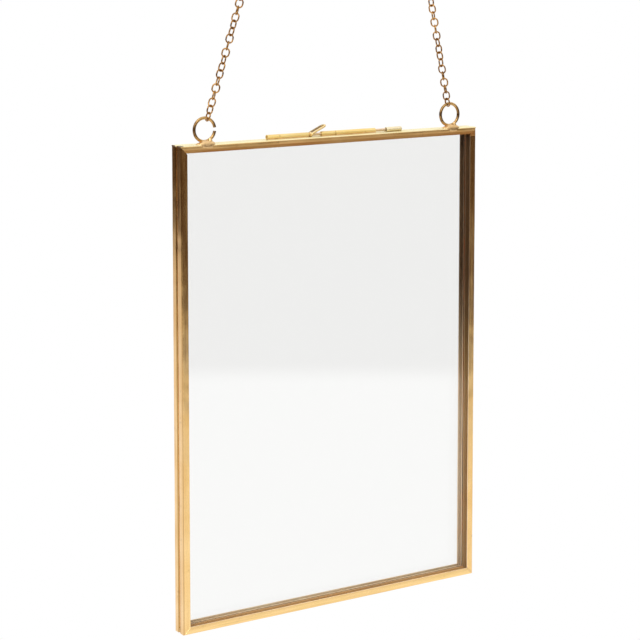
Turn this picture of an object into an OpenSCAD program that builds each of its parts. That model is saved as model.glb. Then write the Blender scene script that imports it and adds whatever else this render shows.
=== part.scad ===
// A hanging picture frame of folded brass: two slim glazed frames face to face, hinged along the
// bottom and bolted along the top, on two soldered rings and a length of fine chain.
// The origin is the top of the nail, where the chain bears on it. X runs to the right of the
// picture, Y towards the wall and Z up. All sizes are in millimetres.

/* [Frame] */
// Overall width of the frame
frame_w = 136; // [110:1:240]
// Overall height of the frame
frame_h = 186; // [120:1:320]
// Face width of a channel, from its outer edge to the edge of its lip
lip_w = 2.8; // [2.4:0.1:6]
// Thickness of the brass strip
strip_t = 0.45; // [0.3:0.05:0.6]
// Inside radius of the two folded edges of a channel
fold_r = 0.15; // [0.1:0.05:0.3]
// Gap between the front and the back frame when closed
groove = 0.6; // [0.4:0.1:1]
// Open joint at a mitred corner, along the outer edge
mitre_gap = 0.05; // [0.02:0.01:0.1]

/* [Glass] */
// Thickness of each pane
glass_t = 2; // [1.5:0.1:3]
// Play before and behind the pane in the front channel
front_play = 0.25; // [0.1:0.05:0.6]
// Play before and behind the pane in the back channel
back_play = 0.15; // [0.1:0.05:0.6]
// Play between a pane's edge and the web of its channel
edge_play = 0.5; // [0.2:0.1:1]

/* [Rings] */
// Outside diameter of a hanging ring
ring_od = 10; // [9:0.1:16]
// Wire diameter of a hanging ring
ring_wire = 1.2; // [0.8:0.05:1.5]
// Distance from the side of the frame to the centre of a ring
ring_inset = 11.5; // [8:0.1:30]
// Distance from the plane of the rings to the back of the front frame
ring_setback = 0.8; // [0.7:0.05:1.5]
// Width of the open joint in the left ring
left_ring_gap = 1.3; // [0.2:0.1:2]
// Width of the closed joint in the right ring
right_ring_gap = 0.15; // [0.1:0.05:2]
// Thickness of solder under a ring
ring_seat = 0.4; // [0.1:0.05:0.6]
// Length of the solder mound under a ring
mound_l = 7.8; // [6:0.1:9]
// Height of the solder mound under a ring
mound_h = 1.2; // [0.9:0.1:1.5]
// Depth of the solder mound, front to back
mound_d = 2.1; // [1.6:0.1:2.4]
// Distance from the solder mound to the back of the front frame
mound_setback = 0.4; // [0.2:0.05:0.6]

/* [Chain] */
// Length of a chain link over its ends
link_l = 3.8; // [3.4:0.1:4.4]
// Width of a chain link
link_w = 3.2; // [2.8:0.1:3.4]
// Wire diameter of a chain link
link_wire = 0.5; // [0.35:0.05:0.55]
// Play between two linked wires
link_play = 0.04; // [0.02:0.01:0.08]
// How much closer than elsewhere the links beside the top link hang to it
top_slack = 0.2; // [0.15:0.05:0.3]
// Play between the last link and the wire of its ring
ring_play = 0.15; // [0.1:0.05:0.3]
// Height of the nail's centre above the frame
nail_rise = 204; // [100:1:300]
// Distance of the nail to the right of the frame's centre line
nail_offset = 12; // [-15:1:15]
// Radius of the middle of the chain where it turns over the nail
turn_r = 3.5; // [3:0.1:6]

/* [Latch] */
// Outside diameter of the latch tubes
tube_od = 1.9; // [1.8:0.1:2.6]
// Diameter of the bolt
bolt_d = 1.1; // [0.8:0.05:1.2]
// Radial play of the bolt in its tubes
bolt_play = 0.06; // [0.03:0.01:0.1]
// Play between a tube and the frame that it isn't soldered to
tube_clear = 0.15; // [0.1:0.05:0.3]
// Length of the left guide tube
guide_left_l = 18.6; // [14:0.1:22]
// Length of the short stop tube
stop_l = 6.3; // [4:0.1:8]
// Length of the right guide tube
guide_right_l = 18.6; // [14:0.1:22]
// Length of the keeper tube on the back frame
keeper_l = 7.2; // [6:0.1:12]
// Slot between the left guide and the stop, in which the pull loop slides
slot_l = 5.9; // [4.8:0.1:9]
// Joint between the stop and the right guide
tube_joint = 0.3; // [0.2:0.1:1]
// Gap between the right guide and the keeper
keeper_gap = 5.3; // [2:0.1:8]
// Left end of the left guide tube, from the frame's centre line
latch_start = -28.8; // [-36:0.1:-20]
// Length of bolt to the left of the pull loop
bolt_tail = 12; // [7:0.1:13]
// Gap between the drawn bolt and the keeper
bolt_rest_gap = 0.25; // [0.1:0.05:0.6]

/* [Pull loop] */
// Wire diameter of the pull loop
pull_wire = 0.8; // [0.6:0.05:0.9]
// Length of the collar that fixes the loop to the bolt
collar_l = 0.9; // [0.8:0.05:1.1]
// Gap between the collar and the left guide tube
collar_gap = 0.5; // [0.1:0.05:0.8]
// Inside width of the loop, between its legs
eye_w = 1.6; // [1.2:0.1:1.7]
// Radius to which the legs of the loop are bent
pull_bend_r = 3; // [2:0.1:6]
// Slope of the legs where they leave the bolt, in degrees
pull_foot_angle = 50; // [45:1:70]
// Slope of the legs at the eye, in degrees
pull_tip_angle = 24; // [5:1:30]
// Straight length of the legs before the eye
pull_straight = 4.8; // [2:0.1:5.5]

/* [Hinge] */
// Outside diameter of a hinge knuckle
knuckle_od = 1.3; // [1.2:0.05:1.6]
// Diameter of a hinge pin
pin_d = 0.7; // [0.5:0.05:0.8]
// Radial play of the pin in its knuckles
pin_play = 0.05; // [0.03:0.01:0.08]
// Play between a knuckle and the frame that it isn't soldered to
knuckle_clear = 0.13; // [0.1:0.01:0.2]
// Length of each outer knuckle, soldered to the front frame
outer_knuckle_l = 5; // [3:0.1:8]
// Length of the middle knuckle, soldered to the back frame
middle_knuckle_l = 7; // [3:0.1:10]
// Gap between two knuckles
knuckle_gap = 0.2; // [0.1:0.05:0.5]
// Distance from the side of the frame to the end of each hinge
hinge_inset = 1.4; // [1:0.1:20]
// Diameter of a pin's riveted end
rivet_d = 1; // [0.9:0.05:1.15]
// Thickness of a pin's riveted end
rivet_t = 0.3; // [0.2:0.05:0.5]

/* [Solder] */
// Width of a solder fillet along the flat of a channel
fillet_w = 0.35; // [0.2:0.05:0.6]
// Bare length of tube beyond each end of its solder
fillet_end = 0.4; // [0.2:0.1:1]

/* [Hidden] */
$fn = 48;

// Twist of the hanging chain in degrees a link, in the left and in the right run
left_twist = 14.7;
right_twist = -11.3;
// Cuts run past the solid by this much
over = 1;

// Channel section
bend_r = strip_t + fold_r;
front_depth = glass_t + 2 * strip_t + 2 * front_play;
back_depth = glass_t + 2 * strip_t + 2 * back_play;
front_y = ring_setback - front_depth;
back_y = ring_setback + groove;
groove_y = ring_setback + groove / 2;

// Chain path: it turns over the nail on the circle turn_r and runs straight to each ring's centre
link_gap_l = link_l - 2 * link_wire;
pitch = link_gap_l - link_play;
top_angle = asin((pitch - top_slack) / 2 / turn_r);
nail_z = link_w / 2 - turn_r * cos(top_angle);
frame_x = -nail_offset;
frame_z = nail_z - nail_rise;
bottom_z = frame_z - frame_h;

// Rings
ring_r = (ring_od - ring_wire) / 2;
ring_z = frame_z + ring_seat + ring_od / 2;
ring_x = frame_w / 2 - ring_inset;

// Latch and hinge axes lie in the valley between the folded edges of the two frames
tube_r = tube_od / 2;
bore_r = bolt_d / 2 + bolt_play;
latch_z = frame_z + valley_rise(tube_r, tube_clear);
hinge_z = bottom_z - valley_rise(knuckle_od / 2, knuckle_clear);
stop_start = latch_start + guide_left_l + slot_l;
guide_right_start = stop_start + stop_l + tube_joint;
keeper_start = guide_right_start + guide_right_l + keeper_gap;
pull_x = latch_start + guide_left_l + collar_gap + collar_l / 2;
leg_y = (eye_w + pull_wire) / 2;
hinge_l = 2 * outer_knuckle_l + middle_knuckle_l + 2 * knuckle_gap;
hinge_x = frame_w / 2 - hinge_inset - hinge_l / 2;

// Height of a round tube's axis over two folded edges that it clears by a given play
function valley_rise(r, play) =
    sqrt(pow(bend_r + r + play, 2) - pow(groove / 2 + bend_r, 2)) - bend_r;

// Draws a section given in Y and Z as a bar along X, centred on its length
module along_x(length) {
    rotate([90, 0, 90])
        linear_extrude(height = length, center = true)
            children();
}

// Outside of a channel's section: web at the top, with its two edges folded round
module channel_outline(depth) {
    translate([0, -lip_w]) square([depth, lip_w - bend_r]);
    translate([bend_r, -lip_w]) square([depth - 2 * bend_r, lip_w]);
    for (y = [bend_r, depth - bend_r])
        translate([y, -bend_r]) circle(r = bend_r);
}

// The slot of a channel, which takes the edge of the glass
module channel_slot(depth) {
    width = depth - 2 * strip_t;
    translate([strip_t, -lip_w - over]) square([width, lip_w + over - bend_r]);
    translate([bend_r, -lip_w]) square([width - 2 * fold_r, lip_w - strip_t]);
    for (y = [bend_r, depth - bend_r])
        translate([y, -bend_r]) circle(r = fold_r);
}

// One channel with mitred ends, its outer edge on z = 0 and its front on y = 0
module channel(length, depth) {
    half = length / 2 - mitre_gap;
    reach = lip_w + over;
    intersection() {
        along_x(length) difference() {
            channel_outline(depth);
            channel_slot(depth);
        }
        translate([0, depth + over, 0]) rotate([90, 0, 0])
            linear_extrude(height = depth + 2 * over)
                polygon([[-half - over, over], [half + over, over],
                         [half - reach, -reach], [reach - half, -reach]]);
    }
}

// Places a channel on one side of a frame: 0 top, 90 right, 180 bottom, 270 left
module frame_side(turn, y, depth) {
    upright = turn == 90 || turn == 270;
    length = upright ? frame_h : frame_w;
    away = (upright ? frame_w : frame_h) / 2;
    translate([frame_x, y, frame_z - frame_h / 2]) rotate([0, turn, 0])
        translate([0, 0, away]) channel(length, depth);
}

module front_side(turn) color([0.71, 0.54, 0.28]) frame_side(turn, front_y, front_depth);

module back_side(turn) color([0.68, 0.51, 0.26]) frame_side(turn, back_y, back_depth);

// A pane, standing in the slots of its four channels
module pane(y, depth) {
    inset = strip_t + edge_play;
    color([0.86, 0.92, 0.9, 0.4])
        translate([frame_x - frame_w / 2 + inset, y + (depth - glass_t) / 2, bottom_z + inset])
            cube([frame_w - 2 * inset, glass_t, frame_h - 2 * inset]);
}

// A ring of round wire with a joint of a given width, turned to face a given way
module ring(side, gap, joint_angle) {
    gap_angle = gap / ring_r * 180 / PI;
    translate([frame_x + side * ring_x, 0, ring_z]) rotate([90, 0, 0])
        rotate([0, 0, joint_angle + gap_angle / 2])
            rotate_extrude(angle = 360 - gap_angle)
                translate([ring_r, 0]) circle(r = ring_wire / 2);
}

module ring_left() color([0.72, 0.56, 0.3]) ring(-1, left_ring_gap, 0);

module ring_right() color([0.72, 0.56, 0.3]) ring(1, right_ring_gap, -62);

// Radius of an arc with a given half chord and rise
function arc_r(half_chord, rise) = (half_chord * half_chord + rise * rise) / 2 / rise;

// The mound of solder that holds a ring to the top of the front frame
module ring_mound(side) {
    long_r = arc_r(mound_l / 2, mound_h);
    cross_r = arc_r(mound_d / 2, mound_h);
    translate([frame_x + side * ring_x, ring_setback - mound_setback - mound_d / 2, frame_z])
        intersection() {
            translate([-mound_l, -mound_d, 0]) cube([2 * mound_l, 2 * mound_d, mound_h + over]);
            translate([0, 0, mound_h - long_r]) rotate([90, 0, 0])
                cylinder(h = mound_d + 2 * over, r = long_r, center = true);
            translate([0, 0, mound_h - cross_r]) rotate([0, 90, 0])
                cylinder(h = mound_l + 2 * over, r = cross_r, center = true);
        }
}

module ring_solder_left() color([0.82, 0.72, 0.5]) difference() {
    ring_mound(-1);
    ring(-1, left_ring_gap, 0);
}

module ring_solder_right() color([0.82, 0.72, 0.5]) difference() {
    ring_mound(1);
    ring(1, right_ring_gap, -62);
}

// A tube along X from a given start, measured from the frame's centre line
module tube(start, length, r, inner_r, z) {
    translate([frame_x + start + length / 2, groove_y, z]) along_x(length) difference() {
        circle(r = r);
        circle(r = inner_r);
    }
}

// Solder between a tube and the folded edge of the front (-1) or back (1) frame
module fillet(start, length, r, rise, side, z, up) {
    edge = groove / 2;
    foot = edge + bend_r + fillet_w;
    depth = side > 0 ? back_depth : front_depth;
    translate([frame_x + start + length / 2, groove_y, z])
        mirror([0, 0, up > 0 ? 0 : 1]) mirror([0, side > 0 ? 0 : 1, 0])
            along_x(length - 2 * fillet_end) difference() {
                polygon([[edge, rise], [r, rise], [foot, 0], [foot, -bend_r], [edge, -bend_r]]);
                translate([0, rise]) circle(r = r);
                translate([edge, 0]) channel_outline(depth);
            }
}

module latch_tube(start, length)
    color([0.83, 0.68, 0.36]) tube(start, length, tube_r, bore_r, latch_z);

module latch_guide_left() latch_tube(latch_start, guide_left_l);

module latch_stop_tube() latch_tube(stop_start, stop_l);

module latch_guide_right() latch_tube(guide_right_start, guide_right_l);

module latch_keeper() latch_tube(keeper_start, keeper_l);

module latch_fillet(start, length, side)
    color([0.82, 0.72, 0.5])
        fillet(start, length, tube_r, latch_z - frame_z, side, frame_z, 1);

module latch_solder() {
    latch_fillet(latch_start, guide_left_l, -1);
    latch_fillet(stop_start, stop_l, -1);
    latch_fillet(guide_right_start, guide_right_l, -1);
}

module keeper_solder() latch_fillet(keeper_start, keeper_l, 1);

// The bolt is a plain rod with rounded-off ends
module latch_bolt() {
    chamfer = bolt_d / 4;
    first = pull_x - bolt_tail;
    length = keeper_start - bolt_rest_gap - first;
    color([0.8, 0.63, 0.34])
        translate([frame_x + first, groove_y, latch_z]) rotate([0, 90, 0]) {
            cylinder(h = chamfer, r1 = bolt_d / 4, r2 = bolt_d / 2);
            translate([0, 0, chamfer]) cylinder(h = length - 2 * chamfer, r = bolt_d / 2);
            translate([0, 0, length - chamfer])
                cylinder(h = chamfer, r1 = bolt_d / 2, r2 = bolt_d / 4);
        }
}

// The pull is a hairpin of wire: two legs bent up from the bolt and an eye that joins them,
// drawn from the end of the bend, where the legs run level
module hairpin(sweep) {
    for (side = [-1, 1]) {
        translate([0, side * leg_y, -pull_bend_r]) rotate([90, 0, 0]) rotate([0, 0, 90])
            rotate_extrude(angle = sweep)
                translate([pull_bend_r, 0]) circle(r = pull_wire / 2);
        translate([0, side * leg_y, 0]) rotate([0, 90, 0])
            cylinder(h = pull_straight, r = pull_wire / 2);
    }
    translate([pull_straight, 0, 0]) rotate([0, 0, -90]) rotate_extrude(angle = 180)
        translate([leg_y, 0]) circle(r = pull_wire / 2);
}

// The hairpin's feet are soldered to a collar on the bolt
module pull_loop() {
    sweep = pull_foot_angle - pull_tip_angle;
    color([0.78, 0.6, 0.32]) translate([frame_x + pull_x, groove_y, latch_z]) difference() {
        union() {
            rotate([0, 90, 0]) cylinder(h = collar_l, r = tube_r, center = true);
            rotate([0, -pull_tip_angle, 0])
                translate([pull_bend_r * sin(sweep), 0, pull_bend_r * (1 - cos(sweep))])
                    hairpin(sweep);
        }
        rotate([0, 90, 0]) cylinder(h = collar_l + 2 * over, r = bolt_d / 2, center = true);
    }
}

// A knuckle tube, from its start measured from the middle of its hinge
module knuckle(hinge, start, length)
    color([0.74, 0.58, 0.31])
        tube(hinge + start, length, knuckle_od / 2, pin_d / 2 + pin_play, hinge_z);

module knuckle_fillet(hinge, start, length, side)
    color([0.82, 0.72, 0.5])
        fillet(hinge + start, length, knuckle_od / 2, bottom_z - hinge_z, side, bottom_z, -1);

// The two outer knuckles of a hinge, as starts from its middle
outer_starts = [-hinge_l / 2, hinge_l / 2 - outer_knuckle_l];

module hinge_knuckles_front()
    for (hinge = [-hinge_x, hinge_x], start = outer_starts)
        knuckle(hinge, start, outer_knuckle_l);

module hinge_knuckles_back()
    for (hinge = [-hinge_x, hinge_x])
        knuckle(hinge, -middle_knuckle_l / 2, middle_knuckle_l);

module hinge_solder_front()
    for (hinge = [-hinge_x, hinge_x], start = outer_starts)
        knuckle_fillet(hinge, start, outer_knuckle_l, -1);

module hinge_solder_back()
    for (hinge = [-hinge_x, hinge_x])
        knuckle_fillet(hinge, -middle_knuckle_l / 2, middle_knuckle_l, 1);

// A hinge pin, riveted over at both ends
module hinge_pin(hinge) {
    shank = hinge_l + 2 * pin_play;
    color([0.7, 0.55, 0.3])
        translate([frame_x + hinge, groove_y, hinge_z]) rotate([0, 90, 0]) {
            cylinder(h = shank, r = pin_d / 2, center = true);
            for (end = [0, 1]) mirror([0, 0, end]) translate([0, 0, shank / 2])
                cylinder(h = rivet_t, r1 = rivet_d / 2, r2 = pin_d / 2);
        }
}

// One chain link: a stadium of round wire, its length along Z and its plane in XZ
module chain_link() {
    bow_r = (link_w - link_wire) / 2;
    shank = link_l - link_w;
    for (end = [0, 180]) rotate([0, end, 0]) {
        translate([0, 0, shank / 2]) rotate([90, 0, 0]) rotate_extrude(angle = 180)
            translate([bow_r, 0]) circle(r = link_wire / 2);
        translate([bow_r, 0, 0]) cylinder(h = shank, r = link_wire / 2, center = true);
    }
}

// A run of chain goes from the top link round the turn over the nail, then straight to its
// ring; side is -1 for the left run and 1 for the right, and a lean is measured from plumb
function run_across(side) = ring_x + side * frame_x;
function run_reach(side) = norm([run_across(side), nail_z - ring_z]);
function run_lean(side) =
    atan2(run_across(side), nail_z - ring_z) - asin(turn_r / run_reach(side));
function run_arc(side) = turn_r * (90 - run_lean(side) - top_angle) * PI / 180;
function run_straight(side) =
    sqrt(pow(run_reach(side), 2) - turn_r * turn_r) - ring_r + ring_wire / 2 + ring_play;
function run_links(side) = ceil((run_arc(side) + run_straight(side)) / pitch);

// A point on the middle of a run, as X and Z, at a distance from the top link
function run_point(side, s) =
    let(lean = run_lean(side), arc = run_arc(side), a = top_angle + s / turn_r * 180 / PI)
    s < arc
        ? [side * turn_r * sin(a), nail_z + turn_r * cos(a)]
        : [side * (turn_r * cos(lean) + (s - arc) * sin(lean)),
           nail_z + turn_r * sin(lean) - (s - arc) * cos(lean)];

// Twist a link that brings the run's last link square to its ring and its first to the top link
function run_twist(links, wanted) =
    (180 * round((links * wanted + 90 * (links + 1)) / 180) - 90 * (links + 1)) / links;

// Each link spans two points of the run and is rolled a quarter turn and the twist from the last
module chain_run(side, wanted) {
    links = run_links(side);
    step = (run_arc(side) + run_straight(side)) / links;
    twist = run_twist(links, wanted);
    for (i = [0:links - 1]) {
        upper = run_point(side, i * step);
        lower = run_point(side, (i + 1) * step);
        middle = (upper + lower) / 2;
        translate([middle[0], 0, middle[1]])
            rotate([0, atan2(upper[0] - lower[0], upper[1] - lower[1]), 0])
                rotate([0, 0, 90 + (links - 1 - i) * (90 + twist)])
                    chain_link();
    }
}

module chain_left() color([0.76, 0.6, 0.33]) chain_run(-1, left_twist);

module chain_right() color([0.76, 0.6, 0.33]) chain_run(1, right_twist);

// The link that lies across the nail, standing on its side
module chain_top_link()
    color([0.76, 0.6, 0.33]) translate([0, 0, link_w / 2]) rotate([0, 90, 0]) chain_link();

front_side(0);  // front_top_rail
front_side(180);  // front_bottom_rail
front_side(270);  // front_left_stile
front_side(90);  // front_right_stile
back_side(0);  // back_top_rail
back_side(180);  // back_bottom_rail
back_side(270);  // back_left_stile
back_side(90);  // back_right_stile
pane(front_y, front_depth);  // front_glass
pane(back_y, back_depth);  // back_glass
ring_left();
ring_right();
ring_solder_left();
ring_solder_right();
latch_guide_left();
latch_stop_tube();
latch_guide_right();
latch_keeper();
latch_solder();
keeper_solder();
latch_bolt();
pull_loop();
hinge_knuckles_front();
hinge_knuckles_back();
hinge_pin(-hinge_x);  // hinge_pin_left
hinge_pin(hinge_x);  // hinge_pin_right
hinge_solder_front();
hinge_solder_back();
chain_left();
chain_right();
chain_top_link();
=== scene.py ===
import math

import bpy
from mathutils import Matrix, Vector


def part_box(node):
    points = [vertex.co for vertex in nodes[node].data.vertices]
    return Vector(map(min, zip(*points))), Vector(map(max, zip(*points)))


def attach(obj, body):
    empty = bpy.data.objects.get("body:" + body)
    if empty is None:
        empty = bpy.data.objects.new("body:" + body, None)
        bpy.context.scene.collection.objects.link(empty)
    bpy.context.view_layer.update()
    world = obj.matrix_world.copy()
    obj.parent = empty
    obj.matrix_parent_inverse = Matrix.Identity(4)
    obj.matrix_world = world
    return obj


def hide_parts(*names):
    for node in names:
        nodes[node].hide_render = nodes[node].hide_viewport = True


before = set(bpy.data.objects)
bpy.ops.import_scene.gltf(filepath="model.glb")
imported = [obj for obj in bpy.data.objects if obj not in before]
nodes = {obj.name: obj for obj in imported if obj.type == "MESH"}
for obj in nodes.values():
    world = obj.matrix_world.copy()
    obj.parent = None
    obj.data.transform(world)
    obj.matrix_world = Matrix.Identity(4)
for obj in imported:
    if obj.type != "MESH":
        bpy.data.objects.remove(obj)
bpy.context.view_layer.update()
MM = 0.001


# Camera
# The camera stands to the left of the frame and above its top edge. It looks down a little, and
# its lens is shifted down as well, which keeps the uprights nearly parallel, as in the photograph.
FROM_THE_LEFT, DOWNWARDS = 32.67, 5.76
bpy.ops.object.camera_add(location=Vector((-432.2, -646.9, -124.9)) * MM,
                          rotation=(math.radians(90 - DOWNWARDS), 0,
                                    math.radians(-FROM_THE_LEFT)))
camera = bpy.context.object
camera.data.lens, camera.data.sensor_width = 112.5, 36
camera.data.shift_y = -0.3
bpy.context.scene.camera = camera


# Room
# A white studio with a pale floor far below the hanging frame. Brass and glass mirror a plain room
# in its place: a pale floor and ceiling, one pale wall beyond the frame's right side, and dark
# brown walls between them.
FLOOR_Z, FLOOR_RADIUS = -0.8, 2.6
DARK_WALLS, DAYLIGHT = (0.10, 0.060, 0.034), (0.82, 0.82, 0.82)
SOFTBOX, AIM = Vector((-0.9, -0.9, 0.87)), Vector((0, 0, -0.28))


def surface(name):
    """A new material and its emptied node tree."""
    material = bpy.data.materials.new(name)
    material.use_nodes = True
    material.node_tree.nodes.clear()
    return material, material.node_tree


def add(tree, kind, **settings):
    """Adds a node, sets its properties and, for a dict of inputs, its sockets."""
    node = tree.nodes.new(kind)
    for key, value in settings.items():
        if key == "inputs":
            for socket, setting in value.items():
                node.inputs[socket].default_value = setting
        else:
            setattr(node, key, value)
    return node


def seen_straight(tree):
    """1 for rays from the camera or on their way through glass, and 0 for the rest."""
    path = add(tree, "ShaderNodeLightPath")
    either = add(tree, "ShaderNodeMath", operation="MAXIMUM")
    tree.links.new(path.outputs["Is Camera Ray"], either.inputs[0])
    tree.links.new(path.outputs["Is Transmission Ray"], either.inputs[1])
    return either.outputs[0]


def end_in_two(tree, share, first, second):
    """Ends a material in two shaders, the second with the given share."""
    mixed = add(tree, "ShaderNodeMixShader")
    for socket, source in enumerate((share, first.outputs[0], second.outputs[0])):
        tree.links.new(source, mixed.inputs[socket])
    tree.links.new(mixed.outputs[0], add(tree, "ShaderNodeOutputMaterial").inputs[0])


world = bpy.data.worlds.new("studio")
bpy.context.scene.world = world
world.use_nodes = True
room = world.node_tree
room.nodes.clear()
way = add(room, "ShaderNodeTexCoord").outputs["Generated"]
mirrored = None
for direction, start, end, level in (
        ((0.54, 0.84, 0), 0.72, 0.92, (1.08, 1.08, 1.08)),
        ((0, 0, 1), 0.0, 0.42, (1.1, 1.09, 1.07)),
        ((-0.018, 0.028, -1), 0.182, 0.194, (1.10, 1.08, 1.05))):
    dot = add(room, "ShaderNodeVectorMath", operation="DOT_PRODUCT")
    room.links.new(way, dot.inputs[0])
    dot.inputs[1].default_value = direction
    amount = add(room, "ShaderNodeMapRange", interpolation_type="SMOOTHSTEP",
                 inputs={"From Min": start, "From Max": end})
    room.links.new(dot.outputs["Value"], amount.inputs["Value"])
    wall = add(room, "ShaderNodeMix", data_type="RGBA")
    room.links.new(amount.outputs[0], wall.inputs["Factor"])
    wall.inputs["A"].default_value = (*DARK_WALLS, 1)
    wall.inputs["B"].default_value = (*level, 1)
    if mirrored:
        room.links.new(mirrored, wall.inputs["A"])
    mirrored = wall.outputs["Result"]
glossy = add(room, "ShaderNodeMix", data_type="RGBA")
glossy.inputs["A"].default_value = (*DAYLIGHT, 1)
path = add(room, "ShaderNodeLightPath")
room.links.new(path.outputs["Is Glossy Ray"], glossy.inputs["Factor"])
room.links.new(mirrored, glossy.inputs["B"])
seen = add(room, "ShaderNodeMix", data_type="RGBA")
seen.inputs["B"].default_value = (1, 1, 1, 1)
room.links.new(seen_straight(room), seen.inputs["Factor"])
room.links.new(glossy.outputs["Result"], seen.inputs["A"])
background = add(room, "ShaderNodeBackground")
room.links.new(seen.outputs["Result"], background.inputs["Color"])
room.links.new(background.outputs[0], add(room, "ShaderNodeOutputWorld").inputs[0])

bpy.ops.mesh.primitive_circle_add(vertices=96, radius=FLOOR_RADIUS, fill_type="NGON",
                                  location=(0, 0, FLOOR_Z))
floor = bpy.context.object
floor.name = "floor"
pale, tree = surface("pale floor")
matt = add(tree, "ShaderNodeBsdfDiffuse", inputs={"Color": (0.86, 0.86, 0.86, 1)})
white = add(tree, "ShaderNodeEmission", inputs={"Color": (1, 1, 1, 1), "Strength": 1})
end_in_two(tree, seen_straight(tree), matt, white)
floor.data.materials.append(pale)
floor.visible_glossy = False

bpy.ops.object.light_add(type="AREA", location=SOFTBOX)
softbox = bpy.context.object
softbox.data.size, softbox.data.energy = 0.9, 9
softbox.rotation_euler = (AIM - SOFTBOX).to_track_quat("-Z", "Y").to_euler()


# Channels
# Each side of the two frames is a strip of brass folded lengthways to a channel, cut to a mitre
# at both ends and soldered at the corners. The strip is old: a little wavy, dented and tarnished.
STRIP, FOLD, CROWN = 0.45 * MM, 0.6 * MM, 0.03 * MM
CUT_EVERY = 1.6 * MM


def alone(piece):
    """Selects one object and nothing else."""
    bpy.ops.object.select_all(action="DESELECT")
    piece.select_set(True)
    bpy.context.view_layer.objects.active = piece


def pick(piece, kind, test):
    """In edit mode, selects the verts, edges or faces whose middle passes the test."""
    bpy.ops.object.mode_set(mode="EDIT")
    bpy.ops.mesh.select_all(action="DESELECT")
    bpy.ops.mesh.select_mode(type={"v": "VERT", "e": "EDGE", "f": "FACE"}[kind])
    bpy.ops.object.mode_set(mode="OBJECT")
    mesh = piece.data
    if kind == "v":
        for vertex in mesh.vertices:
            vertex.select = test(vertex.co)
    elif kind == "e":
        for edge in mesh.edges:
            a, b = (mesh.vertices[i].co for i in edge.vertices)
            edge.select = test((a + b) / 2, b - a)
    else:
        for face in mesh.polygons:
            face.select = test(face.center, face.normal)
    bpy.ops.object.mode_set(mode="EDIT")


def finish_mesh(piece, angle=40):
    """Applies all modifiers and the place, and shades the piece smooth but for sharp edges."""
    alone(piece)
    for modifier in list(piece.modifiers):
        bpy.ops.object.modifier_apply(modifier=modifier.name)
    bpy.ops.object.transform_apply(location=True, rotation=True, scale=True)
    bpy.ops.object.shade_smooth_by_angle(angle=math.radians(angle))


def ripple(piece, texture, strength):
    """Makes a piece a little uneven with a texture's bumps and hollows."""
    uneven = piece.modifiers.new("ripple", "DISPLACE")
    uneven.texture, uneven.texture_coords = texture, "LOCAL"
    uneven.strength, uneven.mid_level = strength, 0.5


def soften(piece, width, segments, angle=50):
    """Takes the sharpness off edges that turn by more than the angle."""
    edge = piece.modifiers.new("edge", "BEVEL")
    edge.width, edge.segments, edge.limit_method = width, segments, "ANGLE"
    edge.angle_limit = math.radians(angle)


def keep(piece, slot, body, *stands_for):
    """Hangs a finished piece on its body and hides the CAD nodes that it stands for. slot is not
    used.
    """
    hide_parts(*stands_for)
    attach(piece, body)


def folded_channel(name, length, depth, lip, laps, lean=0):
    """A channel along X with its outer web up on z = 0 and its front lip on y = 0. laps gives,
    for each end, how far its web runs out over the next channel's end, or under it; lean
    presses the front lip's free edge inwards."""
    bpy.ops.object.select_all(action="DESELECT")
    bpy.ops.mesh.primitive_plane_add(size=1)
    piece = bpy.context.object
    piece.name = name
    piece.scale = (length, depth, 1)
    piece.location = (0, depth / 2, 0)
    bpy.ops.object.transform_apply(location=True, rotation=True, scale=True)
    pick(piece, "e", lambda m, r: abs(r.y) < 1e-6)
    bpy.ops.mesh.extrude_edges_move(TRANSFORM_OT_translate={"value": (0, 0, -lip)})
    pick(piece, "e", lambda m, r: abs(r.y) < 1e-6 and abs(m.z) < 1e-6)
    bpy.ops.mesh.bevel(offset=FOLD, segments=6, profile=0.5)
    beside = FOLD + 0.08 * MM
    for spot, across in (((0, 0, -beside), (0, 0, 1)), ((0, beside, 0), (0, 1, 0)),
                         ((0, depth - beside, 0), (0, 1, 0))):
        bpy.ops.mesh.select_all(action="SELECT")
        bpy.ops.mesh.bisect(plane_co=spot, plane_no=across)
    pick(piece, "e", lambda m, r: abs(r.z) > lip * 0.5)
    bpy.ops.mesh.subdivide(number_cuts=3)
    pick(piece, "e", lambda m, r: abs(r.x) > length * 0.5)
    bpy.ops.mesh.subdivide(number_cuts=int(length / CUT_EVERY))
    middle = -(lip + FOLD) / 2
    for side, sign in ((0, -1), (depth, 1)):
        for reach, push in ((0.2 * MM, 0.4), (0.7 * MM, 0.6)):
            pick(piece, "v", lambda co: abs(co.y - side) < 0.1 * MM
                 and abs(co.z - middle) < reach)
            bpy.ops.transform.translate(value=(0, sign * CROWN * push, 0))
    for share in (0.35, 0.75):
        pick(piece, "v", lambda co: co.y < depth / 2 and co.z < -lip * share)
        bpy.ops.transform.translate(value=(0, lean / 2, 0))
    for end, lap in zip((-1, 1), laps):
        for shift, slope in ((lap - 0.03 * MM, -1), (min(lap, 0), 0)):
            bpy.ops.mesh.select_all(action="SELECT")
            bpy.ops.mesh.bisect(plane_co=(end * (length / 2 + shift), 0, 0),
                                plane_no=(end, 0, slope), clear_outer=True)
    bpy.ops.object.mode_set(mode="OBJECT")
    return piece


def place_channel(piece, turn, middle, away, front):
    """Turns a channel to its own side of the frame and sets it away from the frame's middle."""
    piece.rotation_euler = (0, math.radians(turn), 0)
    offset = Matrix.Rotation(math.radians(turn), 3, "Y") @ Vector((0, 0, away))
    piece.location = Vector((middle.x, front, middle.z)) + offset
    alone(piece)
    bpy.ops.object.transform_apply(location=True, rotation=True, scale=True)


def grey(level):
    return (level, level, level)


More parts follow.
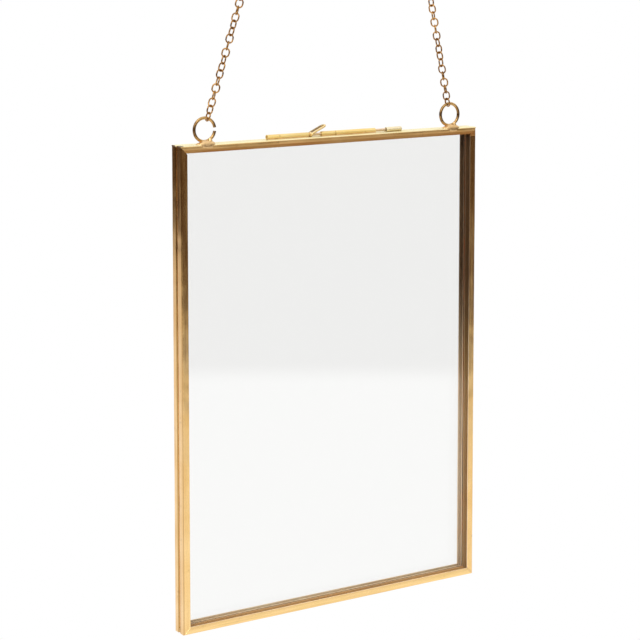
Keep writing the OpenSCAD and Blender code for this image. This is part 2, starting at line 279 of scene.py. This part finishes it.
def ramp(tree, source, stops):
    """A colour ramp over source with stops of (position, colour)."""
    node = add(tree, "ShaderNodeValToRGB")
    for element, (position, colour) in zip(node.color_ramp.elements, stops):
        element.position = position
        element.color = (*colour, 1)
    tree.links.new(source, node.inputs["Fac"])
    return node.outputs["Color"]


wave = bpy.data.textures.new("wave of the strip", "CLOUDS")
wave.noise_scale = 0.014
dent = bpy.data.textures.new("small dents", "CLOUDS")
dent.noise_scale = 0.0032


def brass(name, pale, dark, fades=(), rough=0.34, tarnish=0.5, streak=(1, 1, 1), bump=0.3,
          sheen=1.0):
    """Old brass: two tones in soft clouds and drawn streaks, brown tarnish spots and fine
    scratches. Each of the fades is (axis, from, to, colour, strength, breaking up); sheen is
    how much of it is bare metal rather than a dull skin of oxide."""
    material, tree = surface(name)
    link = tree.links.new
    place = add(tree, "ShaderNodeTexCoord").outputs["Object"]
    stretch = add(tree, "ShaderNodeMapping", inputs={"Scale": streak})
    link(place, stretch.inputs[0])
    drawn = add(tree, "ShaderNodeTexNoise", inputs={"Scale": 900, "Detail": 5, "Roughness": 0.6})
    link(stretch.outputs[0], drawn.inputs["Vector"])
    cloud = add(tree, "ShaderNodeTexNoise", inputs={"Scale": 90, "Detail": 4, "Roughness": 0.6})
    link(place, cloud.inputs["Vector"])
    spots = add(tree, "ShaderNodeTexNoise", inputs={"Scale": 330, "Detail": 6, "Roughness": 0.7})
    link(place, spots.inputs["Vector"])
    axes = add(tree, "ShaderNodeSeparateXYZ")
    link(place, axes.inputs[0])
    tone = add(tree, "ShaderNodeMix", data_type="RGBA")
    tone.inputs["A"].default_value = (*dark, 1)
    tone.inputs["B"].default_value = (*pale, 1)
    link(ramp(tree, cloud.outputs["Fac"], [(0.36, grey(0)), (0.62, grey(1))]),
         tone.inputs["Factor"])
    colour = tone.outputs["Result"]
    for axis, start, end, far, strength, broken in fades:
        amount = add(tree, "ShaderNodeMapRange", interpolation_type="SMOOTHSTEP",
                     inputs={"From Min": start, "From Max": end, "To Max": strength})
        link(axes.outputs[axis], amount.inputs["Value"])
        patch = add(tree, "ShaderNodeMapRange", inputs={
            "From Min": 0.40, "From Max": 0.60, "To Min": 1 - broken, "To Max": 1})
        link(drawn.outputs["Fac"], patch.inputs["Value"])
        share = add(tree, "ShaderNodeMath", operation="MULTIPLY")
        link(amount.outputs[0], share.inputs[0])
        link(patch.outputs[0], share.inputs[1])
        faded = add(tree, "ShaderNodeMix", data_type="RGBA")
        faded.inputs["B"].default_value = (*far, 1)
        link(share.outputs[0], faded.inputs["Factor"])
        link(colour, faded.inputs["A"])
        colour = faded.outputs["Result"]
    lines = add(tree, "ShaderNodeMix", data_type="RGBA", blend_type="MULTIPLY")
    lines.inputs["Factor"].default_value = 0.45
    link(colour, lines.inputs["A"])
    link(ramp(tree, drawn.outputs["Fac"], [(0.35, (0.62, 0.55, 0.45)), (0.6, (1, 1, 1))]),
         lines.inputs["B"])
    brown = add(tree, "ShaderNodeMix", data_type="RGBA")
    brown.inputs["B"].default_value = (0.16, 0.075, 0.03, 1)
    spotted = ramp(tree, spots.outputs["Fac"], [(0.62, grey(0)), (0.74, grey(tarnish))])
    link(spotted, brown.inputs["Factor"])
    link(lines.outputs["Result"], brown.inputs["A"])
    roughness = add(tree, "ShaderNodeMapRange",
                    inputs={"From Min": 0.3, "From Max": 0.7, "To Min": rough * 0.7,
                            "To Max": rough * 1.5})
    link(drawn.outputs["Fac"], roughness.inputs["Value"])
    relief = add(tree, "ShaderNodeBump", inputs={"Strength": bump, "Distance": 0.0001})
    link(drawn.outputs["Fac"], relief.inputs["Height"])
    metal = add(tree, "ShaderNodeBsdfPrincipled", inputs={"Metallic": sheen})
    link(brown.outputs["Result"], metal.inputs["Base Color"])
    link(roughness.outputs[0], metal.inputs["Roughness"])
    link(relief.outputs[0], metal.inputs["Normal"])
    link(metal.outputs[0], add(tree, "ShaderNodeOutputMaterial").inputs[0])
    return material


PALE, GOLD = (0.98, 0.69, 0.33), (0.93, 0.62, 0.26)
UPRIGHT, LEVEL = (1, 1, 0.04), (0.04, 1, 1)
# The rails lap over the stiles at the top. At the lower corners the left stile runs a little
# over the rail and the right one stops short of it, and solder has spilt down the right stile.
LAP, OVER, SHORT, SPILL = 0.4 * MM, 0.03 * MM, -0.05 * MM, 4.6 * MM
PRESSED_IN = 0.13 * MM
FACE, WEB, INSIDE, SPILT = 0, 1, 2, 4
for side, body in (("front", "front_frame"), ("back", "back_frame")):
    low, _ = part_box(f"{side}_left_stile")
    _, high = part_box(f"{side}_right_stile")
    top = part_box(f"{side}_top_rail")[1].z
    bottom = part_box(f"{side}_bottom_rail")[0].z
    middle = Vector(((low.x + high.x) / 2, 0, (top + bottom) / 2))
    depth, lip = high.y - low.y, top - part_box(f"{side}_top_rail")[0].z
    stile_faces = brass(f"{side} stile faces", PALE, GOLD, rough=0.14, streak=UPRIGHT,
                        bump=0.1)
    inner, outer = (high.y, low.y) if side == "front" else (low.y, high.y)
    groove = math.copysign(MM, outer - inner)
    # Painted shade and reflection on the stile webs: darker brown towards the top, partly patina
    # and partly a painted reflection of dark surroundings; painted shade along the groove between
    # the two frames; painted shade along the front fold.
    stile_webs = brass(f"{side} stile webs", (0.90, 0.64, 0.35), (0.84, 0.56, 0.27),
                       [("Z", top - 0.105, top - 0.055, (0.58, 0.35, 0.14), 0.6, 0.1),
                        ("Y", inner + 0.7 * groove, inner + 0.15 * groove,
                         (0.36, 0.20, 0.05), 0.9, 0.1),
                        ("Y", low.y + 0.75 * MM, low.y + 0.3 * MM,
                         (0.56, 0.34, 0.12), 0.6, 0.1)],
                       rough=0.12, streak=UPRIGHT, bump=0.1)
    # Painted shade inside the channels: in the front frame the inside darkens to brown more than 2
    # mm behind the face, and every inside darkens to near black towards the top.
    inside = brass(f"{side} inside of the channels", (1.0, 0.79, 0.54), (1.0, 0.71, 0.43),
                   [("Y", low.y + 2.0 * MM, low.y + 2.7 * MM, (0.44, 0.25, 0.07),
                     0.95 if side == "front" else 0, 0.1),
                    ("Z", top - 0.125, top - 0.055, (0.14, 0.07, 0.027), 1, 0.1)],
                   rough=0.5, streak=UPRIGHT, sheen=0.12, bump=0.12, tarnish=0.3)
    top_faces = brass(f"{side} top rail faces", (0.86, 0.58, 0.26), (0.78, 0.49, 0.19),
                      [("X", middle.x - 0.045, middle.x, (0.66, 0.38, 0.13), 0.4, 0.8),
                       ("Z", top - 1.4 * MM, top - 1.9 * MM, (0.42, 0.17, 0.04), 0.9, 0.6)],
                      rough=0.4, streak=LEVEL)
    # Painted shade: the left end of the front top web is painted nearly black, for the shade at
    # the corner.
    corner_painted_shade = [("X", low.x + 1.8 * MM, low.x + 0.7 * MM, (0.10, 0.07, 0.03), 0.9, 0.1)]
    # Painted highlight: the top webs are painted pale, almost white, for the glare on them.
    top_webs_painted_highlight = brass(f"{side} top rail webs", (1.0, 0.92, 0.60), (0.98, 0.88, 0.50),
                     corner_painted_shade if side == "front" else (), streak=LEVEL, tarnish=0.1, sheen=0.7)
    bottom_faces = brass(f"{side} bottom rail faces", PALE, (0.95, 0.68, 0.30), rough=0.16,
                         streak=LEVEL, tarnish=0.3, bump=0.1)
    # Painted shade: in the front frame the bottom rail's inside darkens to brown more than 2 mm
    # behind the face.
    bottom_inside = brass(f"{side} inside of the bottom rail", (1.0, 0.80, 0.52),
                          (1.0, 0.71, 0.40),
                          [("Y", low.y + 2.0 * MM, low.y + 2.7 * MM, (0.66, 0.36, 0.10),
                            0.9 if side == "front" else 0, 0.1)],
                          rough=0.5, streak=LEVEL, tarnish=0.1, sheen=0.05, bump=0.05)
    for part, turn, length, away, laps, finishes in (
            ("top_rail", 0, high.x - low.x, (top - bottom) / 2, (LAP, LAP),
             (top_faces, top_webs_painted_highlight)),
            ("bottom_rail", 180, high.x - low.x, (top - bottom) / 2, (0, 0),
             (bottom_faces, bottom_faces)),
            ("left_stile", 270, top - bottom, (high.x - low.x) / 2, (OVER, -LAP),
             (stile_faces, stile_webs)),
            ("right_stile", 90, top - bottom, (high.x - low.x) / 2, (-LAP, SHORT),
             (stile_faces, stile_webs))):
        piece = folded_channel(f"{side}_{part}_strip", length, depth, lip, laps,
                               PRESSED_IN if part == "top_rail" else 0)
        within = bottom_inside if part == "bottom_rail" else inside
        for finish in (*finishes, within, within, top_faces):
            piece.data.materials.append(finish)
        place_channel(piece, turn, middle, away, low.y)
        for face in piece.data.polygons:
            face.material_index = FACE if abs(face.normal.y) > 0.9 else WEB
            if part == "right_stile" and face.center.z > top - SPILL:
                face.material_index = SPILT
        ripple(piece, wave, 0.10 * MM)
        ripple(piece, dent, 0.04 * MM)
        wall = piece.modifiers.new("wall", "SOLIDIFY")
        wall.thickness, wall.offset = STRIP, -1
        wall.material_offset = wall.material_offset_rim = INSIDE
        soften(piece, 0.03 * MM, 1, 60)
        finish_mesh(piece)
        keep(piece, "channel", body, f"{side}_{part}")


# Panes
# Two sheets of thin clear glass with plain cut edges, one slid into the channels of each frame.
# Nothing lies between them.
clear, tree = surface("clear glass")
sheet = add(tree, "ShaderNodeBsdfTransparent", inputs={"Color": (0.984, 0.985, 0.983, 1)})
mirror = add(tree, "ShaderNodeBsdfGlossy", inputs={"Color": (1, 1, 1, 1), "Roughness": 0.0})
facing = add(tree, "ShaderNodeLayerWeight", inputs={"Blend": 0.5})
grazing = add(tree, "ShaderNodeMath", operation="POWER", inputs={1: 5})
tree.links.new(facing.outputs["Facing"], grazing.inputs[0])
gloss = add(tree, "ShaderNodeMath", operation="MULTIPLY_ADD", inputs={1: 0.9, 2: 0.025})
tree.links.new(grazing.outputs[0], gloss.inputs[0])
end_in_two(tree, gloss.outputs[0], sheet, mirror)
for name in ("front_glass", "back_glass"):
    finishes = nodes[name].data.materials
    finishes.clear()
    finishes.append(clear)


# Rings
# Two rings of brass wire, bent round and stood on the top rail. The left one's ends don't meet;
# the right one is closed. The left and right sides of each ring are painted dark brown: a
# painted reflection of dark surroundings.
RING_D, WIRE = 10.0 * MM, 1.2 * MM
# Dark brown for painted reflection on the rings and painted shade on the pull loop
PAINTED_DARK_BROWN = (0.14, 0.07, 0.03)


def close_mesh(piece):
    """Merges doubled points and turns all faces of a closed mesh outwards."""
    bpy.ops.object.mode_set(mode="EDIT")
    bpy.ops.mesh.select_all(action="SELECT")
    bpy.ops.mesh.remove_doubles(threshold=1e-6)
    bpy.ops.mesh.normals_make_consistent(inside=False)
    bpy.ops.object.mode_set(mode="OBJECT")


for side, gap, start in (("left", 1.3 * MM, 0), ("right", 0.15 * MM, -62)):
    low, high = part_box(f"ring_{side}")
    centre = Vector(((low.x + high.x) / 2, 0, (low.z + high.z) / 2))
    if side == "left":
        centre.x = low.x + RING_D / 2
    radius = (RING_D - WIRE) / 2
    opening = gap / radius
    first = math.radians(start) + opening / 2
    bpy.ops.object.select_all(action="DESELECT")
    spot = centre + radius * Vector((math.cos(first), 0, math.sin(first)))
    bpy.ops.mesh.primitive_circle_add(vertices=14, radius=WIRE / 2, fill_type="NGON",
                                      location=spot, rotation=(0, -first, 0))
    piece = bpy.context.object
    piece.name = f"ring_{side}_wire"
    bpy.ops.object.transform_apply(location=True, rotation=True, scale=True)
    bpy.ops.object.mode_set(mode="EDIT")
    bpy.ops.mesh.select_all(action="SELECT")
    bpy.ops.mesh.spin(steps=64, angle=math.tau - opening, center=centre, axis=(0, 1, 0))
    bpy.ops.object.mode_set(mode="OBJECT")
    alone(piece)
    close_mesh(piece)
    ripple(piece, dent, 0.08 * MM)
    soften(piece, 0.08 * MM, 2)
    finish_mesh(piece)
    # The wire's left and right sides are painted dark brown: a painted reflection.
    piece.data.materials.append(brass(
        f"{side} ring brass", (0.75, 0.49, 0.20), (0.48, 0.28, 0.10),
        [("X", centre.x - 2.6 * MM, centre.x - 4.2 * MM, PAINTED_DARK_BROWN, 0.9, 0.5),
         ("X", centre.x + 2.6 * MM, centre.x + 4.0 * MM, PAINTED_DARK_BROWN, 0.85, 0.5)],
        rough=0.26, bump=0.15, tarnish=0.6))
    keep(piece, "ring", "front_frame", f"ring_{side}")


# Ring solder
# A mound of pale hard solder holds each ring on the rail. It floods the ring's foot, runs up the
# wire, hangs a little over the rail's front edge and feathers out to the sides.
solder = brass("hard solder", (0.88, 0.62, 0.32), (0.80, 0.53, 0.25), rough=0.36, tarnish=0.3,
               bump=0.2)
blob = bpy.data.textures.new("lumps of solder", "CLOUDS")
blob.noise_scale = 0.0016


def lump(centre, size, rough_by, flat_below=None, behind=0):
    """A lump of solder: an uneven ball, cut flat where it sits on something. The flat leans by
    behind, so that the lump can hang down over an edge."""
    bpy.ops.object.select_all(action="DESELECT")
    bpy.ops.mesh.primitive_ico_sphere_add(subdivisions=5, radius=1, location=centre)
    piece = bpy.context.object
    piece.scale = size
    bpy.ops.object.transform_apply(location=True, rotation=True, scale=True)
    ripple(piece, blob, rough_by)
    finish_mesh(piece, 80)
    if flat_below is not None:
        bpy.ops.object.mode_set(mode="EDIT")
        bpy.ops.mesh.select_all(action="SELECT")
        bpy.ops.mesh.bisect(plane_co=(0, centre[1], flat_below), plane_no=(0, behind, -1),
                            use_fill=True, clear_outer=True)
        bpy.ops.object.mode_set(mode="OBJECT")
    return piece


def joined(name, parts):
    """Joins parts to one piece."""
    alone(parts[0])
    for part in parts:
        part.select_set(True)
    bpy.ops.object.join()
    piece = bpy.context.object
    piece.name = name
    return piece


def melt(name, parts):
    """Joins overlapping lumps and melts them into one skin."""
    piece = joined(name, parts)
    skin = piece.modifiers.new("skin", "REMESH")
    skin.mode, skin.voxel_size = "VOXEL", 0.11 * MM
    ease = piece.modifiers.new("ease", "SMOOTH")
    ease.factor, ease.iterations = 0.5, 6
    finish_mesh(piece, 80)
    return piece


for side in ("left", "right"):
    low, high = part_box(f"ring_solder_{side}")
    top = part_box("front_top_rail")[1].z
    x = (low.x + high.x) / 2
    sole = top - 0.05 * MM
    parts = []
    # Each lump: how far along from the ring's centre, forward and down, then its half sizes
    # and how its flat leans
    for along, ahead, down, long, deep, tall, behind in (
            (0.1, 1.95, 0.6, 3.7, 0.78, 1.9, 1.3), (0.2, 1.2, 0, 3.2, 1.1, 1.35, 0),
            (0.0, 0.35, 0, 2.9, 1.0, 1.45, 0), (2.35, 0.15, 0, 0.95, 0.85, 2.5, 0),
            (3.0, 0.4, 0, 1.3, 1.0, 0.9, 0), (-2.9, 0.7, 0, 1.0, 1.0, 0.7, 0)):
        parts.append(lump((x + along * MM, -ahead * MM, top - down * MM),
                          (long * MM, deep * MM, tall * MM), 0.1 * MM, sole - down * MM,
                          behind))
    piece = melt(f"ring_solder_{side}_mound", parts)
    piece.data.materials.append(solder)
    keep(piece, "solder", "front_frame", f"ring_solder_{side}")


# Latch tubes
# Four short lengths of thin brass tube on the top edge, three soldered to the front frame and
# the keeper to the back frame. Their ends are sawn and left open, and the bolt runs through them.
BORE = 1.22 * MM
tube_brass = brass("tube brass", (1.0, 0.80, 0.36), (0.98, 0.71, 0.26), rough=0.4,
                   tarnish=0.25, bump=0.12, streak=(0.05, 1, 1), sheen=0.55)
# Painted highlight: the keeper is painted nearly white, for the glare on it.
keeper_brass_painted_highlight = brass("keeper brass", (1.0, 0.93, 0.72), (0.99, 0.88, 0.62), rough=0.45,
                     tarnish=0.1, bump=0.12, streak=(0.05, 1, 1))


def open_tube(name, low, high, bore, dents=0.05 * MM, sides=28):
    """A tube along X that fills a box, with open ends and slightly rounded rims."""
    outer = (high.z - low.z) / 2
    bpy.ops.object.select_all(action="DESELECT")
    bpy.ops.mesh.primitive_cylinder_add(vertices=sides, radius=outer, depth=high.x - low.x,
                                        end_fill_type="NOTHING", location=(low + high) / 2,
                                        rotation=(0, math.pi / 2, 0))
    piece = bpy.context.object
    piece.name = name
    bpy.ops.object.transform_apply(location=True, rotation=True, scale=True)
    pick(piece, "e", lambda m, r: abs(r.x) > (high.x - low.x) / 2)
    bpy.ops.mesh.subdivide(number_cuts=max(3, int((high.x - low.x) / (0.6 * MM))))
    bpy.ops.object.mode_set(mode="OBJECT")
    ripple(piece, wave, dents)
    ripple(piece, dent, dents * 0.6)
    wall = piece.modifiers.new("wall", "SOLIDIFY")
    wall.thickness, wall.offset = outer - bore / 2, -1
    soften(piece, 0.05 * MM, 2)
    finish_mesh(piece)
    return piece


TUBES = {"latch_guide_left": "front_frame", "latch_stop_tube": "front_frame",
         "latch_guide_right": "front_frame", "latch_keeper": "back_frame"}
for name, body in TUBES.items():
    low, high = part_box(name)
    piece = open_tube(name + "_tube", low, high, BORE)
    piece.data.materials.append(keeper_brass_painted_highlight if name == "latch_keeper" else tube_brass)
    keep(piece, "tube", body, name)


# Latch solder
# Hard solder holds each tube on its rail. It has run along the foot of the tube in an uneven
# fillet, thicker at a few places.
SEAM_END, SEAM_OUT = 0.3 * MM, 0.95 * MM


def seam(start, end, y, z, deep, tall, step=1.5 * MM, seed=0):
    """A run of small overlapping lumps along X, to be melted into one fillet."""
    count = max(2, int((end - start) / step))
    parts = []
    for i in range(count):
        share = 0.85 + 0.25 * math.sin(2.3 * i + seed)
        x = start + (end - start) * (i + 0.5) / count
        parts.append(lump((x, y, z), ((end - start) / count * 0.75, deep * share,
                                      tall * share), 0.05 * MM))
    return parts


valley = (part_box("front_top_rail")[1].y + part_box("back_top_rail")[0].y) / 2
rail_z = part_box("front_top_rail")[1].z
for name, body, y in (("latch_solder", "front_frame", valley - SEAM_OUT),
                      ("keeper_solder", "back_frame", valley + SEAM_OUT)):
    parts = []
    for index, (tube, carrier) in enumerate(TUBES.items()):
        if carrier == body:
            low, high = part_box(tube)
            parts += seam(low.x + SEAM_END, high.x - SEAM_END, y, rail_z + 0.05 * MM,
                          0.30 * MM, 0.34 * MM, seed=index)
    piece = melt(name + "_fillet", parts)
    piece.data.materials.append(solder)
    keep(piece, "solder", body, name)


# Bolt
# A rod of hard brass wire with its ends rounded off on a file. It lies loose in the tubes, and
# sliding in them keeps it polished.
bolt_brass = brass("bolt brass", (1.0, 0.82, 0.60), (0.97, 0.72, 0.48), rough=0.4,
                   tarnish=0.2, bump=0.08, streak=(0.05, 1, 1))


def rod(name, low, high, sides=24, tip=0.28 * MM):
    """A rod along X that fills a box, rounded at both ends."""
    bpy.ops.object.select_all(action="DESELECT")
    bpy.ops.mesh.primitive_cylinder_add(vertices=sides, radius=(high.z - low.z) / 2,
                                        depth=high.x - low.x, location=(low + high) / 2,
                                        rotation=(0, math.pi / 2, 0))
    piece = bpy.context.object
    piece.name = name
    bpy.ops.object.transform_apply(location=True, rotation=True, scale=True)
    pick(piece, "f", lambda c, n: abs(n.x) > 0.9)
    bpy.ops.mesh.bevel(offset=tip, segments=4, profile=0.5, affect="EDGES")
    bpy.ops.object.mode_set(mode="OBJECT")
    finish_mesh(piece)
    return piece


low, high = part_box("latch_bolt")
piece = rod("bolt_rod", low, high)
piece.data.materials.append(bolt_brass)
keep(piece, "bolt", "bolt", "latch_bolt")


# Pull loop
# A hairpin of brass wire, bent round at its eye and leaning to the right. Its two feet are
# soldered to a collar on the bolt, one in front and one behind.
PULL_WIRE, LEG, BEND = 0.8 * MM, 1.2 * MM, 3.0 * MM
FOOT, TIP, STRAIGHT = math.radians(50), math.radians(24), 4.8 * MM
HALF_COLLAR, COLLAR_RADIUS, COLLAR_BORE = 0.45 * MM, 0.95 * MM, 1.1 * MM
STEPS = 8
tube_z = (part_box("latch_keeper")[0].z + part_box("latch_keeper")[1].z) / 2
pull_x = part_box("pull_loop")[0].x + HALF_COLLAR


def bent_wire(name, points, thickness, sides=4):
    """A round wire along points, drawn as a curve and made a mesh with closed ends."""
    bpy.ops.object.select_all(action="DESELECT")
    bpy.ops.curve.primitive_bezier_curve_add()
    piece = bpy.context.object
    piece.name = name
    line = piece.data
    line.splines.clear()
    spline = line.splines.new("POLY")
    spline.points.add(len(points) - 1)
    for spot, point in zip(spline.points, points):
        spot.co = (*point, 1)
    line.dimensions, line.bevel_depth, line.bevel_resolution = "3D", thickness / 2, sides
    line.use_fill_caps = True
    bpy.ops.object.convert(target="MESH")
    piece = bpy.context.object
    alone(piece)
    close_mesh(piece)
    return piece


profile = []
for i in range(STEPS + 1):
    slope = FOOT + (TIP - FOOT) * i / STEPS
    profile.append((BEND * (math.sin(FOOT) - math.sin(slope)),
                    BEND * (math.cos(slope) - math.cos(FOOT))))
bend_x, bend_z = profile[-1]
for i in range(1, STEPS + 1):
    profile.append((bend_x + STRAIGHT * i / STEPS * math.cos(TIP),
                    bend_z + STRAIGHT * i / STEPS * math.sin(TIP)))
route = [Vector((pull_x + x, valley - LEG, tube_z + z)) for x, z in profile]
end_x, end_z = profile[-1]
for i in range(1, 2 * STEPS):
    turn = math.pi * i / (2 * STEPS)
    out = LEG * math.sin(turn)
    route.append(Vector((pull_x + end_x + out * math.cos(TIP), valley - LEG * math.cos(turn),
                         tube_z + end_z + out * math.sin(TIP))))
route += [Vector((pull_x + x, valley + LEG, tube_z + z)) for x, z in reversed(profile)]
loop = bent_wire("loop", route, PULL_WIRE)
centre = Vector((pull_x, valley, tube_z))
corner = Vector((HALF_COLLAR, COLLAR_RADIUS, COLLAR_RADIUS))
collar = open_tube("collar", centre - corner, centre + corner, COLLAR_BORE, 0.04 * MM)
piece = joined("pull_loop_wire", [loop, collar])
finish_mesh(piece, 50)
# Painted shade: the wire behind the bolt's line, the back leg, is painted dark brown.
piece.data.materials.append(brass(
    "pull brass", (1.0, 0.80, 0.42), (0.94, 0.68, 0.30),
    [("Y", valley, valley + 0.8 * MM, PAINTED_DARK_BROWN, 0.85, 0.3)], rough=0.34, tarnish=0.3, bump=0.12))
keep(piece, "bolt", "bolt", "pull_loop")


# Hinges
# Two hinges along the bottom edge: thin tube cut into three knuckles each, the outer two soldered
# to the front frame and the middle one to the back frame, with a pin riveted over at both ends.
KNUCKLE, PIN_BORE, PIN_RADIUS = 1.3 * MM, 0.8 * MM, 0.35 * MM
OUTER, GAP, MIDDLE, INSET = 5.0 * MM, 0.2 * MM, 7.0 * MM, 1.4 * MM
low_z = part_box("front_bottom_rail")[0].z
pin_z = (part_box("hinge_knuckles_back")[0].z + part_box("hinge_knuckles_back")[1].z) / 2
frame_low, frame_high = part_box("front_bottom_rail")


def along_x(start, end, radius):
    """The corners of a box along X round the hinge line."""
    return (Vector((start, valley - radius, pin_z - radius)),
            Vector((end, valley + radius, pin_z + radius)))


knuckles = {"front": [], "back": []}
fillets = {"front": [], "back": []}
for spot in (frame_low.x + INSET, frame_high.x - INSET - 2 * OUTER - 2 * GAP - MIDDLE):
    for length, side, out in ((OUTER, "front", -0.62 * MM), (MIDDLE, "back", 0.62 * MM),
                              (OUTER, "front", -0.62 * MM)):
        knuckles[side].append(open_tube("knuckle", *along_x(spot, spot + length, KNUCKLE / 2),
                                        PIN_BORE, 0.02 * MM, 20))
        fillets[side] += seam(spot + SEAM_END, spot + length - SEAM_END, valley + out,
                              low_z - 0.02 * MM, 0.26 * MM, 0.26 * MM, 1.2 * MM, spot * 900)
        spot += length + GAP
# At the left corner the solder has run up into the groove
for out, lift in ((0.9, 0.0), (0.35, 0.35), (0.1, 0.9), (0.05, 1.5)):
    fillets["front"].append(lump((frame_low.x + out * MM, valley - 0.35 * MM,
                                  low_z + lift * MM),
                                 (0.34 * MM, 0.42 * MM, 0.55 * MM), 0.05 * MM))
for side, body in (("front", "front_frame"), ("back", "back_frame")):
    piece = joined(f"hinge_knuckles_{side}_tube", knuckles[side])
    piece.data.materials.append(tube_brass)
    keep(piece, "tube", body, f"hinge_knuckles_{side}")
    piece = melt(f"hinge_solder_{side}_fillet", fillets[side])
    piece.data.materials.append(solder)
    keep(piece, "solder", body, f"hinge_solder_{side}")
for side in ("left", "right"):
    low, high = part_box(f"hinge_pin_{side}")
    piece = rod(f"hinge_pin_{side}_rod", *along_x(low.x, high.x, PIN_RADIUS), 16, 0.12 * MM)
    piece.data.materials.append(bolt_brass)
    keep(piece, "bolt", "front_frame", f"hinge_pin_{side}")


# Chain
# Fine trace chain: oval links of brass wire, each a quarter turn round from the last, hung
# over the nail from one ring to the other. The whole length has a slight twist in it.
LINK_L, LINK_W, LINK_WIRE, FULLER = 3.8 * MM, 3.2 * MM, 0.5 * MM, 0.045 * MM
TURN_R, SLACK, PLAY, SEAT = 3.5 * MM, 0.2 * MM, 0.04 * MM, 0.15 * MM
chain_brass = brass("chain brass", (0.56, 0.31, 0.10), (0.30, 0.145, 0.04), rough=0.2,
                    tarnish=0.6, bump=0.05)


def chain_link():
    """One link at the origin, its length along Z and its plane in XZ. Its wire is drawn a
    little fuller than its measure, as polish and glare make it look."""
    bpy.ops.object.select_all(action="DESELECT")
    bpy.ops.mesh.primitive_torus_add(major_segments=20, minor_segments=8,
                                     major_radius=(LINK_W - LINK_WIRE) / 2,
                                     minor_radius=LINK_WIRE / 2 + FULLER,
                                     rotation=(math.pi / 2, 0, 0))
    link = bpy.context.object
    bpy.ops.object.transform_apply(location=True, rotation=True, scale=True)
    for sign in (-1, 1):
        pick(link, "v", lambda co: co.z * sign > 0.05 * MM)
        bpy.ops.transform.translate(value=(0, 0, sign * (LINK_L - LINK_W) / 2))
    bpy.ops.object.mode_set(mode="OBJECT")
    bpy.ops.object.shade_smooth()
    return link


pattern = chain_link()
pitch = LINK_L - 2 * LINK_WIRE - PLAY
first_turn = math.asin((pitch - SLACK) / 2 / TURN_R)
nail_z = LINK_W / 2 - TURN_R * math.cos(first_turn)
for side, sign, twist in (("left", -1, 14.7), ("right", 1, -11.3)):
    low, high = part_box(f"ring_{side}")
    hook_x = low.x + RING_D / 2 if side == "left" else high.x - RING_D / 2
    hook_z = (low.z + high.z) / 2
    across, drop = sign * hook_x, nail_z - hook_z
    reach = math.hypot(across, drop)
    lean = math.atan2(across, drop) - math.asin(TURN_R / reach)
    arc = TURN_R * (math.pi / 2 - lean - first_turn)
    straight = math.sqrt(reach ** 2 - TURN_R ** 2) - RING_D / 2 + WIRE + SEAT
    links = math.ceil((arc + straight) / pitch)
    step = (arc + straight) / links
    twist = (180 * round((links * twist + 90 * (links + 1)) / 180) - 90 * (links + 1)) / links

    def path_point(s):
        if s < arc:
            turn = first_turn + s / TURN_R
            return Vector((sign * TURN_R * math.sin(turn), 0, nail_z + TURN_R * math.cos(turn)))
        return Vector((sign * (TURN_R * math.cos(lean) + (s - arc) * math.sin(lean)), 0,
                       nail_z + TURN_R * math.sin(lean) - (s - arc) * math.cos(lean)))

    copies = []
    for i in range(links):
        upper, lower = path_point(i * step), path_point((i + 1) * step)
        tilt = math.atan2(upper.x - lower.x, upper.z - lower.z)
        roll = math.radians(90 + (links - 1 - i) * (90 + twist))
        copy = pattern.copy()
        copy.data = pattern.data.copy()
        bpy.context.collection.objects.link(copy)
        copy.matrix_world = (Matrix.Translation((upper + lower) / 2)
                             @ Matrix.Rotation(tilt, 4, "Y") @ Matrix.Rotation(roll, 4, "Z"))
        copies.append(copy)
    alone(copies[0])
    for copy in copies:
        copy.select_set(True)
    bpy.ops.object.transform_apply(location=True, rotation=True, scale=True)
    piece = joined(f"chain_{side}_links", copies)
    piece.data.materials.append(chain_brass)
    keep(piece, "chain", "chain", f"chain_{side}")
pattern.name = "chain_top_link_wire"
pattern.location = (0, 0, LINK_W / 2)
pattern.rotation_euler = (0, math.pi / 2, 0)
alone(pattern)
bpy.ops.object.transform_apply(location=True, rotation=True, scale=True)
pattern.data.materials.append(chain_brass)
keep(pattern, "chain", "chain", "chain_top_link")


bpy.context.scene.view_settings.view_transform = "Standard"
